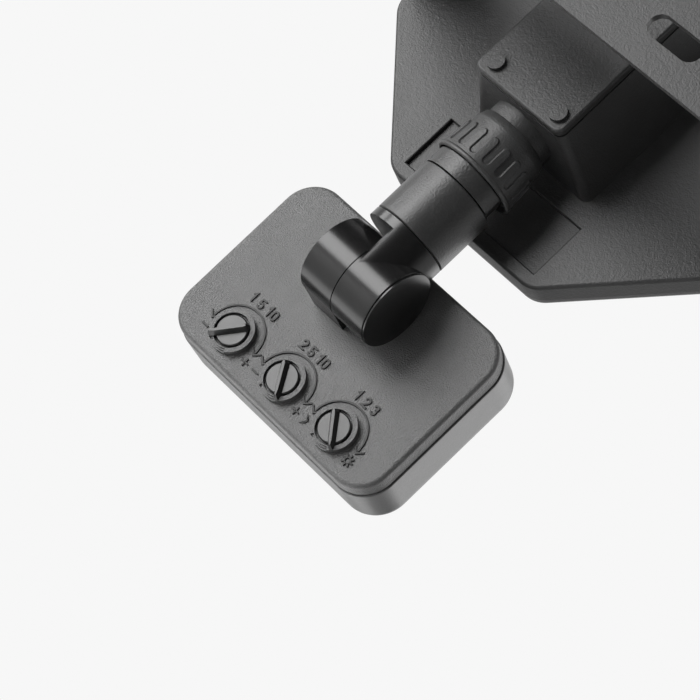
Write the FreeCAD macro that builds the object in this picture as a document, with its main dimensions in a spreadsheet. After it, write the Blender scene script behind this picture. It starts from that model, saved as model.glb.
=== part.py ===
import FreeCAD, Part
import math
import os
import re
import Sketcher
from FreeCAD import Placement, Rotation, Vector

# Security floodlight with a motion sensor head on a swivelling arm.
# +Z is up, the lamp's glass looks along -Y and the wall is the plane Y = 0.
# The origin is the middle of the wall bracket's back face.

driving = {
    # wall bracket, bent from strip
    "bracketHeight": 22, "bracketSheet": 2, "bracketBend": 3, "bracketNose": 11,
    "wallHole": 6.5, "wallSlotSpan": 80, "wallSlotLength": 16,
    "wallToTilt": 64, "tiltBehindRear": 8.4,
    "tiltBolt": 6, "boltHeadFlats": 10, "boltHeadHeight": 4,
    "tiltWasherThick": 1.5, "tiltWasherRadius": 6.2, "legGap": 0.1,
    "runningGap": 0.05, "seamGap": 0.3,
    # lamp housing and its front
    "lampWidth": 124, "lampHeight": 104, "cornerCut": 35.5, "cornerRound": 8,
    "innerRound": 2,
    "housingDepth": 7, "housingFloor": 3, "housingWall": 2, "rearRound": 1,
    "recessWidth": 48.6, "recessHeight": 16.7, "recessDepth": 1.4, "recessMargin": 4.05,
    "recessRound": 0.45,
    "lugWidth": 9, "lugHeight": 14,
    "bezelDepth": 4, "bezelWidth": 11, "bezelRound": 3, "bezelLip": 1.1,
    "glassInset": 8, "glassFit": 0.25,
    "screwInset": 5, "screwBoss": 3.2, "screwRadius": 1.5, "screwHead": 2.5,
    "screwHeadHeight": 1.8, "bezelScrewLength": 6,
    "screwSpanSide": 20, "screwSpanTop": 36,
    "boardThick": 1.6, "boardInset": 9, "sheetThick": 0.5,
    "chipSize": 3.5, "chipHeight": 0.8, "chipPitch": 13, "chipWindow": 4.5,
    "smallScrew": 1.2, "smallHead": 2.2, "smallHeadHeight": 1.2,
    "boardScrewInset": 9, "boardScrewUp": 28,
    # driver box on the lamp's back
    "boxBaseWidth": 42, "boxTopWidth": 31, "boxBaseHeight": 51.4, "boxTopHeight": 47.8,
    "boxRise": 26.2, "boxWall": 2.2, "boxCorner": 2.5, "boxGasket": 0.8, "boxGasketInset": 0.4,
    "lidThick": 2.4, "lidRound": 0.7, "lidScrewInset": 4.2, "lidScrewLength": 9,
    "lidPost": 8,
    "driverWidth": 23, "driverHeight": 30.6, "driverStand": 3, "driverScrewInset": 2.5,
    # cable gland in the box's top wall
    "glandBehindRear": 13, "glandThread": 8, "glandSeat": 10.5,
    "glandFlats": 19, "glandFlange": 5, "glandNeck": 6, "glandDome": 9.5,
    "glandNutRadius": 9.3, "cableBore": 3.6, "locknutHeight": 3,
    # arm between the lamp and the sensor head
    "armAboveRear": 14.15, "kneeBelowLamp": 28.9, "armRadius": 11.3,
    "kneeHalfWidth": 11.66, "kneeGap": 0.3, "kneeEdge": 0.25, "webStart": 12.9, "webEdge": 0.8,
    "sleeveStart": 15.7, "sleeveEnd": 32.5, "spigotRadius": 6.95, "spigotEnd": 29,
    "wireBore": 4.5, "neckRadius": 9.6, "neckEnd": 44.8, "bossEnd": 46, "plugLength": 8,
    "bandRadius": 11.2, "bandEnd": 37.8, "bandStartAngle": -52, "bandSweep": 220,
    "collarStart": 38, "collarLength": 14.9, "collarFlange": 12.45, "flangeWidth": 1.2,
    "collarRadius": 11.6, "collarTopRadius": 10.9, "collarMouth": 11.65, "mouthDepth": 1.6,
    "gripFingers": 18, "gripGap": 2, "gripRise": 0.5, "gapStart": 2.4, "gripEnd": 9.5,
    "hubRadius": 4, "hubWall": 3, "kneeBore": 8, "capRise": 0.9, "capEdge": 0.4,
    "capSkirt": 3, "capGroove": 0.25, "grooveDepth": 0.6,
    "clipThick": 1.5, "clipReach": 0.75, "sealThick": 1.5,
    # sensor head
    "armOffset": 1.3, "kneeAbovePlate": 11.75, "kneeOffset": 12.93,
    "sensorWidth": 77.5, "sensorHeight": 54.3, "sensorCorner": 9.7,
    "coverDepth": 5.24, "coverWall": 2, "coverRound": 1.2, "headSeam": 0.4, "shellStep": 0.4,
    "sensorDepth": 23, "sensorDraft": 0.1, "sensorRound": 4.6, "sensorWall": 2,
    "gasketInset": 1.2,
    "footHalf": 11.2, "footRound": 0.3, "footScrewSpan": 12,
    "lensWidth": 56, "lensHeight": 36, "lensRadius": 40, "lensWall": 1, "lensBack": 1.5,
    "lensEdge": 3,
    "dialPitch": 20, "dialDrop": 18.07, "dialBoss": 6.2, "dialBossRise": 2,
    "dialWell": 5, "dialRadius": 4.4, "dialThick": 1.1, "dialShaft": 3, "dialShaftEnd": 6,
    "barWidth": 2.4, "barTop": 0.8, "barRise": 1.8, "barReach": 6.2, "barBack": 5,
    "bossStepStart": -118, "bossStepSweep": 60, "bossStep": 0.5,
    "sensorBoardDepth": 11, "potSize": 9.5, "potPin": 1.4, "postRadius": 3,
    "postAcross": 62, "postUp": 40,
    "detectorRadius": 4.1, "detectorHeight": 4.6,
}
chipColumns, chipRows = 6, 5

doc = FreeCAD.newDocument("SensorLight")
sizes = doc.addObject("Spreadsheet::Sheet", "Sizes")
for row, (alias, number) in enumerate(driving.items(), start=1):
    sizes.set("A%d" % row, alias)
    sizes.set("B%d" % row, str(number))
    sizes.setAlias("B%d" % row, alias)
doc.recompute()


def linked(expression):
    """The expression with every sheet alias in it pointing at the sheet."""
    def point(word):
        return "Sizes." + word.group(0) if word.group(0) in driving else word.group(0)
    return re.sub(r"[A-Za-z_]\w*", point, str(expression))


def value(expression):
    """The number that an expression on the sheet's sizes comes to."""
    result = sizes.evalExpression(linked(expression))
    return float(getattr(result, "Value", result))


def bind(thing, target, expression):
    thing.setExpression(target, linked(expression))


# The lamp's origin is the middle of its rear face, the arm's is where its axis meets the
# knee's axis, and the head's is the middle of its cover.
kneeY = "(armAboveRear - wallToTilt - tiltBehindRear)"
kneeZ = "-(lampHeight / 2 + kneeBelowLamp)"
places = {
    "wall": ("0", "0", "0"),
    "lamp": ("0", "-(wallToTilt + tiltBehindRear)", "0"),
    "arm": ("0", kneeY, kneeZ),
    "head": ("armOffset", kneeY + " - kneeAbovePlate", kneeZ + " - kneeOffset"),
}


def newBody(label, group):
    body = doc.addObject("PartDesign::Body", label)
    body.Label = label
    for axis, expression in zip("xyz", places[group]):
        bind(body, "Placement.Base." + axis, expression)
    return body


def originFeature(body, role):
    return next(f for f in body.Origin.OriginFeatures if f.Role == role)


def newSketch(body, plane, offset="0"):
    """A sketch on one of the body's own planes. XZ looks along -Y, YZ along +X."""
    sketch = body.newObject("Sketcher::SketchObject", body.Label + "Sketch")
    sketch.AttachmentSupport = (originFeature(body, plane + "_Plane"), [""])
    sketch.MapMode = "FlatFace"
    bind(sketch, "AttachmentOffset.Base.z", offset)
    return sketch


def holdAll(sketch, rows):
    """Adds dimensions (kind, geometry, point, expression), each bound to the sheet."""
    made = []
    for kind, geometry, point, expression in rows:
        amount = value(expression)
        if kind == "Radius":
            made.append(Sketcher.Constraint(kind, geometry, amount))
        else:
            made.append(Sketcher.Constraint(kind, -1, 1, geometry, point, amount))
    first = sketch.ConstraintCount
    sketch.addConstraint(made)
    for index, row in enumerate(rows, start=first):
        bind(sketch, "Constraints[%d]" % index, row[3])


def arcBetween(start, end, radius):
    """The short arc from start to end; a positive radius turns anticlockwise."""
    chord = end - start
    half = chord.Length / 2
    rise = math.sqrt(max(radius * radius - half * half, 0.0))
    side = Vector(-chord.y, chord.x, 0).normalize() * (rise if radius > 0 else -rise)
    centre = (start + end) * 0.5 + side
    first, last = (start, end) if radius > 0 else (end, start)
    angles = [math.atan2(p.y - centre.y, p.x - centre.x) for p in (first, last)]
    if angles[1] <= angles[0]:
        angles[1] += 2 * math.pi
    return Part.ArcOfCircle(Part.Circle(centre, Vector(0, 0, 1), abs(radius)), *angles)


def drawOutline(sketch, corners):
    """A closed outline. A corner is (x, y) or (x, y, radius of the arc to the next corner)."""
    points = [Vector(value(c[0]), value(c[1]), 0) for c in corners]
    ends, rows = [], []
    for i, corner in enumerate(corners):
        start, end, after = points[i], points[(i + 1) % len(points)], corners[(i + 1) % len(points)]
        if len(corner) == 2:
            g = sketch.addGeometry(Part.LineSegment(start, end), False)
            ends.append((g, 1, 2))
            continue
        turn = value(corner[2])
        g = sketch.addGeometry(arcBetween(start, end, turn), False)
        ends.append((g, 1, 2) if turn > 0 else (g, 2, 1))
        chord = end - start
        if abs(chord.Length - 2 * abs(turn)) > 1e-6:
            rows.append(("Radius", g, 0, corner[2].lstrip("-")))
        elif abs(chord.x) < abs(chord.y):
            rows.append(("DistanceX", g, 3, "((%s) + (%s)) / 2" % (corner[0], after[0])))
        else:
            rows.append(("DistanceY", g, 3, "((%s) + (%s)) / 2" % (corner[1], after[1])))
    meetings = []
    for i, corner in enumerate(corners):
        g, first, last = ends[i]
        nextOne, nextFirst = ends[(i + 1) % len(ends)][:2]
        meetings.append(Sketcher.Constraint("Coincident", g, last, nextOne, nextFirst))
        rows.append(("DistanceX", g, first, corner[0]))
        rows.append(("DistanceY", g, first, corner[1]))
    sketch.addConstraint(meetings)
    holdAll(sketch, rows)


def drawCircle(sketch, x, y, radius):
    circle = Part.Circle(Vector(value(x), value(y), 0), Vector(0, 0, 1), value(radius))
    g = sketch.addGeometry(circle, False)
    holdAll(sketch, [("DistanceX", g, 3, x), ("DistanceY", g, 3, y), ("Radius", g, 0, radius)])


def outlineSketch(body, plane, outlines, offset="0"):
    sketch = newSketch(body, plane, offset)
    for corners in outlines:
        drawOutline(sketch, corners)
    return sketch


def circleSketch(body, plane, circles, offset="0"):
    sketch = newSketch(body, plane, offset)
    for x, y, radius in circles:
        drawCircle(sketch, x, y, radius)
    return sketch


def pad(body, sketch, length, reverse=False, middle=False):
    feature = body.newObject("PartDesign::Pad", body.Label + "Pad")
    feature.Profile = sketch
    bind(feature, "Length", length)
    feature.Reversed = reverse
    feature.Midplane = middle
    doc.recompute()
    return feature


def pocket(body, sketch, depth, reverse=False, middle=False):
    before = body.Shape.Volume
    feature = body.newObject("PartDesign::Pocket", body.Label + "Pocket")
    feature.Profile = sketch
    bind(feature, "Length", depth)
    feature.Reversed = reverse
    feature.Midplane = middle
    doc.recompute()
    if body.Shape.Volume > before - 1e-6:
        raise ValueError(body.Label + ": a pocket cuts nothing")
    return feature


def revolve(body, sketch, axis="V_Axis", cut=False):
    before = body.Shape.Volume if cut else 0.0
    kind = "PartDesign::Groove" if cut else "PartDesign::Revolution"
    feature = body.newObject(kind, body.Label + ("Groove" if cut else "Turned"))
    feature.Profile = sketch
    feature.ReferenceAxis = (sketch, [axis])
    feature.Angle = 360
    doc.recompute()
    if cut and body.Shape.Volume > before - 1e-6:
        raise ValueError(body.Label + ": a groove cuts nothing")
    return feature


def loft(body, first, last, cut=False):
    kind = "PartDesign::SubtractiveLoft" if cut else "PartDesign::AdditiveLoft"
    feature = body.newObject(kind, body.Label + "Loft")
    feature.Profile = first
    feature.Sections = [last]
    feature.Ruled = True
    doc.recompute()
    return feature


def easeEdges(body, size, wanted, chamfer=False):
    """Rounds or chamfers the edges of the body's last shape for which wanted(edge) is true."""
    base = body.Tip
    names = ["Edge%d" % (i + 1) for i, edge in enumerate(base.Shape.Edges) if wanted(edge)]
    if not names:
        raise ValueError(body.Label + ": no edge to ease")
    kind = "Chamfer" if chamfer else "Fillet"
    feature = body.newObject("PartDesign::" + kind, body.Label + kind)
    feature.Base = (base, names)
    bind(feature, "Size" if chamfer else "Radius", size)
    doc.recompute()
    return feature


def near(a, b):
    return abs(a - b) < 0.02


def along(edge, axis):
    """True for a straight edge that runs along the axis given by its letter."""
    if not isinstance(edge.Curve, Part.Line):
        return False
    return abs(abs(getattr(edge.Curve.Direction, axis)) - 1) < 1e-6


def flatAt(edge, axis, place):
    """True for an edge that lies wholly in the plane axis = place."""
    low = getattr(edge.BoundBox, axis.upper() + "Min")
    high = getattr(edge.BoundBox, axis.upper() + "Max")
    return near(low, place) and near(high, place)


def rectangle(halfWidth, halfHeight, x="0", y="0"):
    corners = []
    for sx, sy in ((-1, -1), (1, -1), (1, 1), (-1, 1)):
        corners.append(("%s + %d * (%s)" % (x, sx, halfWidth),
                        "%s + %d * (%s)" % (y, sy, halfHeight)))
    return corners


def octagon(inset):
    """The lamp's outline, moved in by inset all round."""
    a = "(lampWidth / 2 - (%s))" % inset
    b = "(lampHeight / 2 - (%s))" % inset
    c = "(cornerCut - (2 - sqrt(2)) * (%s))" % inset
    flat, side = "(%s - %s)" % (a, c), "(%s - %s)" % (b, c)
    return [("-" + flat, "-" + b), (flat, "-" + b), (a, "-" + side), (a, side),
            (flat, b), ("-" + flat, b), ("-" + a, side), ("-" + a, "-" + side)]


def roundRectangle(halfWidth, halfHeight, corner):
    """An outline with round corners, anticlockwise from the lower edge's left end."""
    w, d = "(%s)" % halfWidth, "(%s)" % halfHeight
    inX, inY = "(%s - (%s))" % (w, corner), "(%s - (%s))" % (d, corner)
    return [("-" + inX, "-" + d), (inX, "-" + d, corner), (w, "-" + inY), (w, inY, corner),
            (inX, d), ("-" + inX, d, corner), ("-" + w, inY), ("-" + w, "-" + inY, corner)]


def sector(inner, outer, start, sweep, x="0", y="0"):
    """A piece of a ring, from the angle start on, its arcs each drawn in two halves."""
    def onCircle(radius, share):
        angle = "(%s + %s * %s)" % (start, sweep, share)
        return ("%s + %s * cos(%s)" % (x, radius, angle), "%s + %s * sin(%s)" % (y, radius, angle))

    return [onCircle(outer, "0") + (outer,), onCircle(outer, "0.5") + (outer,),
            onCircle(outer, "1"), onCircle(inner, "1") + ("-" + inner,),
            onCircle(inner, "0.5") + ("-" + inner,), onCircle(inner, "0")]


def slot(x, y, halfLength, radius):
    """A level slot with round ends."""
    left, right = "%s - (%s)" % (x, halfLength), "%s + (%s)" % (x, halfLength)
    low, high = "%s - (%s)" % (y, radius), "%s + (%s)" % (y, radius)
    return [(left, low), (right, low, radius), (right, high), (left, high, radius)]


# Turned pieces and plain groups, made of primitives.

axisTurn = {"x": Rotation(Vector(0, 1, 0), 90), "-x": Rotation(Vector(0, 1, 0), -90),
            "y": Rotation(Vector(1, 0, 0), -90), "-y": Rotation(Vector(1, 0, 0), 90),
            "z": Rotation()}


def atSpot(thing, spot, axis, group):
    thing.Placement = Placement(Vector(), axisTurn[axis])
    for letter, own, shared in zip("xyz", spot, places[group]):
        bind(thing, "Placement.Base." + letter, "(%s) + (%s)" % (own, shared))
    return thing


def cylinder(spot, radius, length, axis, group):
    thing = doc.addObject("Part::Cylinder", "Cylinder")
    bind(thing, "Radius", radius)
    bind(thing, "Height", length)
    return atSpot(thing, spot, axis, group)


def hexagon(spot, flats, length, axis, group):
    thing = doc.addObject("Part::Prism", "Hexagon")
    thing.Polygon = 6
    bind(thing, "Circumradius", "(%s) / sqrt(3)" % flats)
    bind(thing, "Height", length)
    return atSpot(thing, spot, axis, group)


def block(low, size, group, label="Block"):
    thing = doc.addObject("Part::Box", label)
    thing.Label = label
    for side, amount in zip(("Length", "Width", "Height"), size):
        bind(thing, side, amount)
    return atSpot(thing, low, "z", group)


def joined(parts, label="Joined"):
    thing = doc.addObject("Part::MultiFuse", label)
    thing.Shapes = parts
    thing.Label = label
    return thing


def cutAway(base, tool, label="Trimmed"):
    thing = doc.addObject("Part::Cut", label)
    thing.Base, thing.Tool = base, tool
    thing.Label = label
    return thing


def together(parts, label):
    thing = doc.addObject("Part::Compound", label)
    thing.Links = parts
    thing.Label = label
    return thing


def washer(spot, outer, inner, length, axis, group, label="Washer"):
    return cutAway(cylinder(spot, outer, length, axis, group),
                   cylinder(spot, inner, length, axis, group), label)


def screw(spot, head, headHeight, shank, length, axis, group, label="Screw"):
    """A screw whose head stands on the spot and whose shank runs on along the axis."""
    sign = "-" if axis.startswith("-") else "+"
    under = [place + " %s (%s)" % (sign, headHeight) if letter == axis[-1] else place
             for letter, place in zip("xyz", spot)]
    return joined([cylinder(spot, head, headHeight, axis, group),
                   cylinder(under, shank, length, axis, group)], label)


nodes = []


def keep(*things):
    nodes.extend(things)


# ---- wall bracket

bracketInner = "(lampWidth / 2 + tiltWasherThick + legGap)"
bracketOuter = "(%s + bracketSheet)" % bracketInner
bracketReach = "(wallToTilt + bracketNose)"


def mountingBracket():
    """A strip bent to a U: the middle lies on the wall, the legs hold the lamp."""
    body = newBody("mounting_bracket", "wall")
    outerBend = "(bracketBend + bracketSheet)"
    o, i, r = bracketOuter, bracketInner, bracketReach
    profile = [("-" + o, "-" + r), ("-" + i, "-" + r),
               ("-" + i, "-" + outerBend, "-bracketBend"),
               ("-(%s - bracketBend)" % i, "-bracketSheet"),
               ("%s - bracketBend" % i, "-bracketSheet", "-bracketBend"), (i, "-" + outerBend),
               (i, "-" + r), (o, "-" + r), (o, "-" + outerBend, outerBend),
               ("%s - %s" % (o, outerBend), "0"),
               ("-(%s - %s)" % (o, outerBend), "0", outerBend), ("-" + o, "-" + outerBend)]
    pad(body, outlineSketch(body, "XY", [profile]), "bracketHeight", middle=True)
    nose, thick = value("-" + r), value("bracketSheet")
    easeEdges(body, "bracketNose - 0.2",
              lambda e: along(e, "x") and flatAt(e, "y", nose) and near(e.Length, thick))
    holes = newSketch(body, "XZ")
    drawCircle(holes, "0", "0", "wallHole / 2")
    for side in ("-", ""):
        drawOutline(holes, slot(side + "wallSlotSpan / 2", "0",
                                "(wallSlotLength - wallHole) / 2", "wallHole / 2"))
    pocket(body, holes, "bracketSheet * 3", middle=True)
    pivots = circleSketch(body, "YZ", [("-wallToTilt", "0", "tiltBolt / 2 + runningGap")])
    pocket(body, pivots, bracketOuter + " * 2 + 2", middle=True)
    keep(body)


def tiltFixings():
    """The two bolts on which the lamp tilts, and the washers inside the legs."""
    bolts, washers = [], []
    for axis, s in (("x", "-"), ("-x", "")):
        under = s + "(%s + legGap)" % bracketOuter
        head = s + "(%s + legGap + boltHeadHeight)" % bracketOuter
        length = "bracketSheet + tiltWasherThick + lugWidth + 2 * legGap"
        bolts.append(joined([
            hexagon((head, "tiltBehindRear", "0"), "boltHeadFlats", "boltHeadHeight", axis, "lamp"),
            cylinder((under, "tiltBehindRear", "0"), "tiltBolt / 2", length, axis, "lamp")]))
        face = s + "(lampWidth / 2 + tiltWasherThick)"
        washers.append(washer((face, "tiltBehindRear", "0"), "tiltWasherRadius",
                              "tiltBolt / 2 + runningGap", "tiltWasherThick", axis, "lamp"))
    keep(together(bolts, "tilt_bolts"), together(washers, "tilt_washers"))


# ---- lamp

def fourSpots(x, z):
    return [(sx + x, sz + z) for sx in ("-", "") for sz in ("-", "")]


lidSpots = fourSpots("(boxTopWidth / 2 - lidScrewInset)", "(boxTopHeight / 2 - lidScrewInset)")
boardSpots = fourSpots("(lampWidth / 2 - boardInset - boardScrewInset)", "boardScrewUp / 2")
driverSpots = [(s + "(driverWidth / 2 - driverScrewInset)", "0") for s in ("-", "")]
bezelSpots = (fourSpots("(lampWidth / 2 - screwInset)", "screwSpanSide / 2")
              + fourSpots("screwSpanTop / 2", "(lampHeight / 2 - screwInset)"))


def holesAt(body, spots, radius, depth, offset, reverse=True):
    """Round holes on an XZ plane, cut towards -Y when reversed."""
    sketch = circleSketch(body, "XZ", [(x, z, radius) for x, z in spots], offset)
    pocket(body, sketch, depth, reverse=reverse)


def postsAt(body, spots, radius, length, offset, reverse=False):
    """Round posts on an XZ plane, standing towards -Y unless reversed."""
    sketch = circleSketch(body, "XZ", [(x, z, radius) for x, z in spots], offset)
    pad(body, sketch, length, reverse=reverse)


# The gland's seat is the box's top wall, thickened to run from the level of its lower end
# to that of its higher end.
seatLow = "(min(boxBaseHeight; boxTopHeight) / 2 - boxWall + 0.2)"
seatThick = "(max(boxBaseHeight; boxTopHeight) / 2 - %s)" % seatLow


def lampHousing():
    """The die-cast back: an eight-sided tray, a tapered driver box and two tilt lugs."""
    body = newBody("lamp_housing", "lamp")
    pad(body, outlineSketch(body, "XZ", [octagon("0")]), "housingDepth")
    easeEdges(body, "cornerRound", lambda e: along(e, "y"))
    tray = outlineSketch(body, "XZ", [octagon("housingWall")], "housingFloor")
    pocket(body, tray, "housingDepth", reverse=True)
    easeEdges(body, "rearRound", lambda e: flatAt(e, "y", 0))
    recesses = newSketch(body, "XZ")
    level = "(lampHeight / 2 - recessMargin - recessHeight / 2)"
    for side in ("-", ""):
        drawOutline(recesses, rectangle("recessWidth / 2", "recessHeight / 2", "0", side + level))
    pocket(body, recesses, "recessDepth", reverse=True)
    rims = (value("recessWidth"), value("recessHeight"))
    easeEdges(body, "recessRound",
              lambda e: flatAt(e, "y", 0) and (near(e.Length, rims[0]) or near(e.Length, rims[1])))
    driverBox(body)
    for side in ("", "-"):
        lug = newSketch(body, "YZ", side + "(lampWidth / 2 - lugWidth / 2)")
        drawOutline(lug, [("-1", "-lugHeight / 2"),
                          ("tiltBehindRear", "-lugHeight / 2", "lugHeight / 2"),
                          ("tiltBehindRear", "lugHeight / 2"), ("-1", "lugHeight / 2")])
        drawCircle(lug, "tiltBehindRear", "0", "tiltBolt / 2 + runningGap")
        pad(body, lug, "lugWidth", middle=True)
    postsAt(body, bezelSpots, "screwBoss", "housingDepth - housingFloor + 0.5",
            "housingFloor - 0.5")
    holesAt(body, bezelSpots, "screwRadius", "housingDepth", "housingFloor")
    holesAt(body, boardSpots, "smallScrew", "housingFloor", "housingFloor * 0.3")
    keep(body)


def driverBox(body):
    """The tapered box: round edges, hollow inside, posts, arm socket and gland seat."""
    base = outlineSketch(body, "XZ", [rectangle("boxBaseWidth / 2", "boxBaseHeight / 2")], "1")
    top = outlineSketch(body, "XZ", [rectangle("boxTopWidth / 2", "boxTopHeight / 2")], "-boxRise")
    loft(body, base, top)
    high = value("boxRise")
    easeEdges(body, "boxCorner",
              lambda e: near(e.BoundBox.YMax, high) and e.BoundBox.YLength > high / 2)
    low = outlineSketch(body, "XZ", [rectangle("boxBaseWidth / 2 - boxWall - 0.5",
                                               "boxBaseHeight / 2 - boxWall - 0.3")])
    up = outlineSketch(body, "XZ", [rectangle("boxTopWidth / 2 - boxWall",
                                              "boxTopHeight / 2 - boxWall")], "-boxRise")
    loft(body, low, up, cut=True)
    postsAt(body, lidSpots, "screwBoss", "lidPost", "-(boxRise - lidPost)", reverse=True)
    holesAt(body, lidSpots, "screwRadius", "lidPost - 1", "-boxRise")
    postsAt(body, driverSpots, "smallHead", "driverStand + 1", "1", reverse=True)
    holesAt(body, driverSpots, "smallScrew", "driverStand", "-driverStand")
    seat = circleSketch(body, "XY", [("0", "glandBehindRear", "glandSeat")], seatLow)
    pad(body, seat, seatThick)
    inlet = circleSketch(body, "XY", [("0", "glandBehindRear", "glandThread")], seatLow + " - 1")
    pocket(body, inlet, seatThick + " + 2", reverse=True)
    bossLow = kneeZ + " + bossEnd"
    boss = circleSketch(body, "XY", [("0", "armAboveRear", "neckRadius")], bossLow)
    pad(body, boss, "-(%s) - boxBaseHeight / 2 + boxWall + 1" % bossLow)
    bore = circleSketch(body, "XY", [("0", "armAboveRear", "spigotRadius")], bossLow)
    pocket(body, bore, "-(%s) - boxBaseHeight / 2 + boxWall + 4" % bossLow, reverse=True)


def frontBezel():
    """The ring that clamps the glass: round front edge, lip, counterbored screw holes."""
    body = newBody("front_bezel", "lamp")
    pad(body, outlineSketch(body, "XZ", [octagon("0")], "housingDepth"), "bezelDepth")
    easeEdges(body, "cornerRound", lambda e: along(e, "y"))
    front = value("-(housingDepth + bezelDepth)")
    easeEdges(body, "bezelRound", lambda e: flatAt(e, "y", front))
    window = outlineSketch(body, "XZ", [octagon("bezelWidth")], "housingDepth")
    pocket(body, window, "bezelDepth + 1", reverse=True)
    rebate = outlineSketch(body, "XZ", [octagon("glassInset - glassFit")], "housingDepth")
    pocket(body, rebate, "bezelDepth - bezelLip", reverse=True)
    holesAt(body, bezelSpots, "screwRadius + 0.1", "bezelDepth", "housingDepth")
    holesAt(body, bezelSpots, "screwHead + 0.1", "screwHeadHeight",
            "housingDepth + bezelDepth - screwHeadHeight")
    keep(body)


def octagonPlate(label, inset, start, thick):
    """A flat plate on the lamp's outline whose rear face is start behind the lamp's."""
    body = newBody(label, "lamp")
    pad(body, outlineSketch(body, "XZ", [octagon(inset)], start), thick)
    easeEdges(body, "innerRound", lambda e: along(e, "y"))
    return body


def lightSource():
    """Glass, gasket, reflector sheet, board, LED packages and the board's screws."""
    stack = "(housingFloor + boardThick + sheetThick)"
    glass = octagonPlate("front_glass", "glassInset", "housingDepth", "bezelDepth - bezelLip")
    gasket = octagonPlate("glass_gasket", "boardInset", stack, "housingDepth - " + stack)
    window = outlineSketch(gasket, "XZ", [octagon("bezelWidth + 0.5")], stack)
    pocket(gasket, window, "housingDepth", reverse=True)
    board = octagonPlate("led_board", "boardInset", "housingFloor", "boardThick")
    holesAt(board, boardSpots, "smallScrew", "boardThick", "housingFloor")
    blank = octagonPlate("SheetBlank", "boardInset", "housingFloor + boardThick", "sheetThick")
    holesAt(blank, boardSpots, "smallScrew", "sheetThick", "housingFloor + boardThick")
    chips, windows = [], []
    for i in range(chipColumns):
        for j in range(chipRows):
            x = "chipPitch * %.1f" % (i - (chipColumns - 1) / 2)
            z = "chipPitch * %.1f" % (j - (chipRows - 1) / 2)
            back = "-(housingFloor + boardThick + chipHeight)"
            chips.append(block((x + " - chipSize / 2", back, z + " - chipSize / 2"),
                               ("chipSize", "chipHeight", "chipSize"), "lamp"))
            windows.append(block((x + " - chipWindow / 2", back, z + " - chipWindow / 2"),
                                 ("chipWindow", "chipHeight + 0.2", "chipWindow"), "lamp"))
    sheet = cutAway(blank, together(windows, "SheetWindows"), "reflector_sheet")
    screws = [screw((x, "-(%s + smallHeadHeight)" % stack, z), "smallHead", "smallHeadHeight",
                    "smallScrew - runningGap", "boardThick + sheetThick + housingFloor * 0.6",
                    "y", "lamp") for x, z in boardSpots]
    keep(glass, gasket, sheet, board, together(chips, "led_chips"),
         together(screws, "board_screws"))
    front = "-(housingDepth + bezelDepth)"
    screws = [screw((x, front, z), "screwHead", "screwHeadHeight", "screwRadius - runningGap",
                    "bezelScrewLength", "y", "lamp") for x, z in bezelSpots]
    keep(together(screws, "bezel_screws"))


def boxLid():
    """The flat lid of the driver box, its gasket and its four screws."""
    w, d = "boxTopWidth / 2", "boxTopHeight / 2"
    gasket = newBody("lid_gasket", "lamp")
    outer = roundRectangle(w + " - boxGasketInset", d + " - boxGasketInset", "boxCorner")
    inner = rectangle(w + " - boxWall", d + " - boxWall")
    pad(gasket, outlineSketch(gasket, "XZ", [outer, inner], "-boxRise"), "boxGasket", reverse=True)
    lid = newBody("box_lid", "lamp")
    lidLow = "(boxRise + boxGasket)"
    face = outlineSketch(lid, "XZ", [roundRectangle(w, d, "boxCorner")], "-" + lidLow)
    pad(lid, face, "lidThick", reverse=True)
    high = value(lidLow + " + lidThick")
    easeEdges(lid, "lidRound", lambda e: flatAt(e, "y", high))
    holesAt(lid, lidSpots, "screwRadius + 0.1", "lidThick + 1", "-" + lidLow, reverse=False)
    headTop = lidLow + " + lidThick + screwHeadHeight * 0.7"
    screws = [screw((x, headTop, z), "screwHead", "screwHeadHeight * 0.7",
                    "screwRadius - runningGap", "lidScrewLength", "-y", "lamp")
              for x, z in lidSpots]
    keep(gasket, lid, together(screws, "lid_screws"))


def driver():
    """The mains driver: board on its stand-offs, wound parts, and the terminal block."""
    face = "driverStand + boardThick"
    plate = block(("-driverWidth / 2", "driverStand", "-driverHeight / 2"),
                  ("driverWidth", "boardThick", "driverHeight"), "lamp")
    drills = [cylinder((x, "driverStand", z), "smallScrew", "boardThick", "y", "lamp")
              for x, z in driverSpots]
    board = cutAway(plate, together(drills, "DriverHoles"), "driver_board")
    transformer = block(("-6.5", face, "-5"), ("13", "11", "11"), "lamp")
    choke = block(("-10", face, "-14.5"), ("8", "7", "7.5"), "lamp")
    reservoir = cylinder(("5.5", face, "-10.3"), "4.5", "12", "y", "lamp")
    terminals = block(("-9", face, "6.6"), ("18", "9", "8.4"), "lamp", "terminal_block")
    screws = [screw((x, face + " + smallHeadHeight", z), "smallHead", "smallHeadHeight",
                    "smallScrew - runningGap", "boardThick + driverStand * 0.8", "-y", "lamp")
              for x, z in driverSpots]
    keep(board, together([transformer, choke, reservoir], "driver_components"), terminals,
         together(screws, "driver_screws"))


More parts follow.
